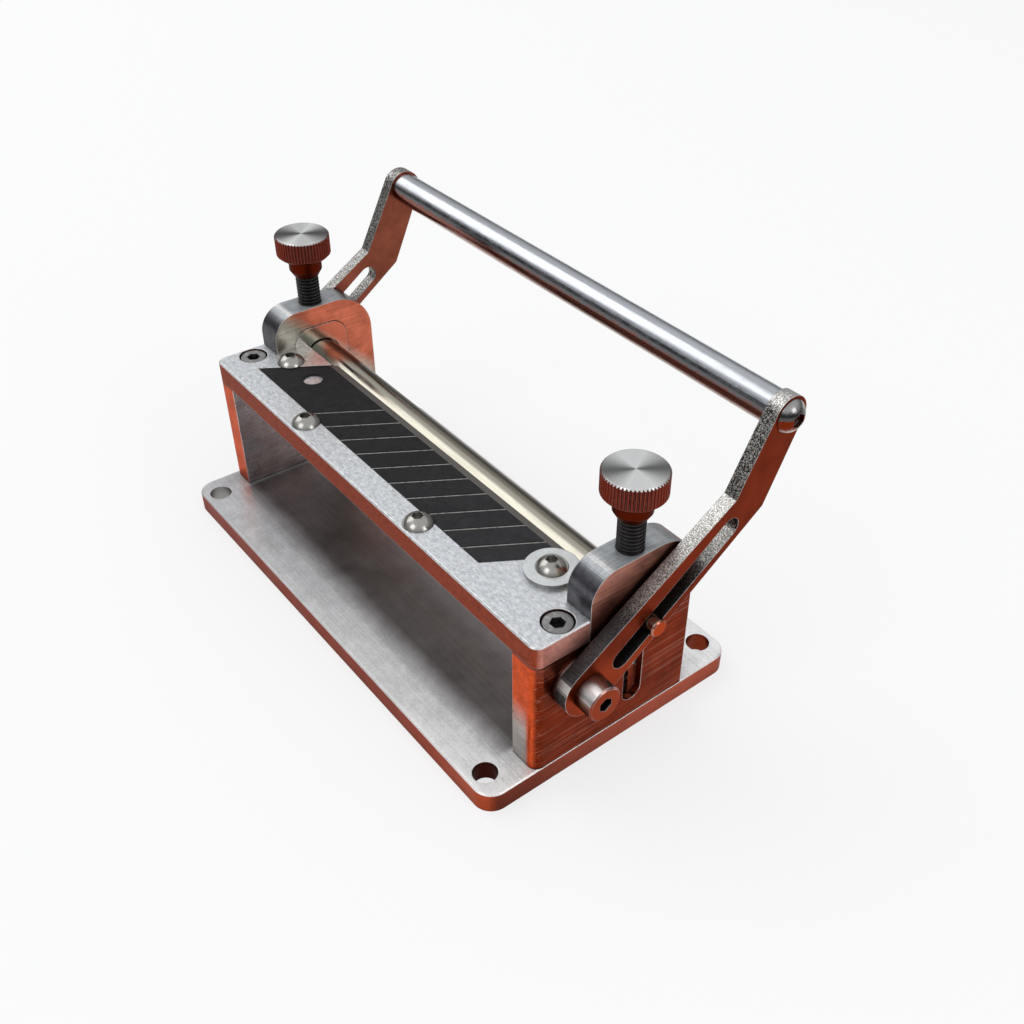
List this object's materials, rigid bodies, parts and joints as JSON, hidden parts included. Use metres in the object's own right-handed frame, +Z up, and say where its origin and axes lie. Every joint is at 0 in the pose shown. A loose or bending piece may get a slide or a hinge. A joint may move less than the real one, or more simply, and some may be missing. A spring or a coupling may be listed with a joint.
{
  "type": "leather splitter",
  "caption": "Bench leather splitter: fixed clamped blade over a sprung roller in sliding blocks, lowered by twin lever arms joined by a handle rod and set by two thumb screws",
  "frame": {"origin": "middle of the base plate's underside, where it stands on the bench", "axes": "+X to the right along the roller and blade, +Y from the operator's side to the back, +Z up"},
  "size_m": [0.2042, 0.1042, 0.1032],
  "materials": {
    "base_steel": "brushed mild steel plate, satin",
    "side_steel": "brushed mild steel plate, satin, polished inside the ears",
    "table_steel": "ground steel plate, fine mottled satin",
    "blade_steel": "black oxide carbon steel with a bright ground edge",
    "clamp_screw_steel": "polished stainless steel",
    "washer_steel": "bright zinc plated steel",
    "cap_screw_steel": "darkened alloy steel",
    "roller_steel": "polished ground steel bar",
    "block_steel": "polished steel block",
    "bush_bronze": "sintered bronze",
    "spring_steel": "bare spring wire",
    "stud_black": "black oxide screw thread",
    "knob_steel": "turned face, straight knurl",
    "lever_steel": "blasted cut edges, brushed faces",
    "handle_steel": "drawn bright steel bar",
    "pivot_steel": "turned steel"
  },
  "bodies": {
    "frame": {"base_plate": "base_steel", "side_plate_left": "side_steel", "side_plate_right": "side_steel", "table_plate": "table_steel", "blade": "blade_steel", "blade_clamp_screws": "clamp_screw_steel", "blade_clamp_washer": "washer_steel", "table_screws": "cap_screw_steel", "base_screws": "cap_screw_steel", "pivot_screws": "pivot_steel", "pivot_washers": "washer_steel", "return_spring_left": "spring_steel", "return_spring_right": "spring_steel"},
    "lever_frame": {"lever_left": "lever_steel", "lever_right": "lever_steel", "handle_rod": "handle_steel", "handle_screws": "clamp_screw_steel"},
    "block_left": {"bearing_block_left": "block_steel", "roller_bush_left": "bush_bronze"},
    "block_right": {"bearing_block_right": "block_steel", "roller_bush_right": "bush_bronze"},
    "roller": {"roller": "roller_steel"},
    "stud_left": {"thumb_stud_left": "stud_black"},
    "stud_right": {"thumb_stud_right": "stud_black"},
    "knob_left": {"thumb_knob_left": "knob_steel"},
    "knob_right": {"thumb_knob_right": "knob_steel"}
  },
  "joints": [
    {"name": "lever_press", "type": "hinge", "parent": "frame", "child": "lever_frame", "pos_m": [0, -0.0166, 0.0358], "axis": [-1, 0, 0], "range_deg": [0, 25], "stiffness_Nm_per_rad": 1.5, "springref_deg": -17.19},
    {"name": "block_left_slide", "type": "slide", "parent": "frame", "child": "block_left", "axis": [0, 0, -1], "range_m": [0, 0.0112], "deforming": ["return_spring_left"]},
    {"name": "block_right_slide", "type": "slide", "parent": "frame", "child": "block_right", "axis": [0, 0, -1], "range_m": [0, 0.0112], "deforming": ["return_spring_right"]},
    {"name": "roller_spin", "type": "hinge", "parent": "block_left", "child": "roller", "pos_m": [0, 0.0048, 0.0483], "axis": [1, 0, 0], "continuous": true},
    {"name": "thumb_left_travel", "type": "slide", "parent": "frame", "child": "stud_left", "axis": [0, 0, 1], "range_m": [-0.00295, 0.0015]},
    {"name": "thumb_right_travel", "type": "slide", "parent": "frame", "child": "stud_right", "axis": [0, 0, 1], "range_m": [-0.00295, 0.0015]},
    {"name": "thumb_left_turn", "type": "hinge", "parent": "stud_left", "child": "knob_left", "pos_m": [-0.085, 0.0048, 0.09], "axis": [0, 0, 1], "range_deg": [-850, 433]},
    {"name": "thumb_right_turn", "type": "hinge", "parent": "stud_right", "child": "knob_right", "pos_m": [0.085, 0.0048, 0.09], "axis": [0, 0, 1], "range_deg": [-850, 433]}
  ],
  "couplings": [
    {"joint": "block_left_slide", "follows": "lever_press", "m_per_rad": 0.02545},
    {"joint": "block_right_slide", "follows": "lever_press", "m_per_rad": 0.02545},
    {"joint": "thumb_left_turn", "follows": "thumb_left_travel", "rad_per_m": 5026.5},
    {"joint": "thumb_right_turn", "follows": "thumb_right_travel", "rad_per_m": 5026.5}
  ]
}
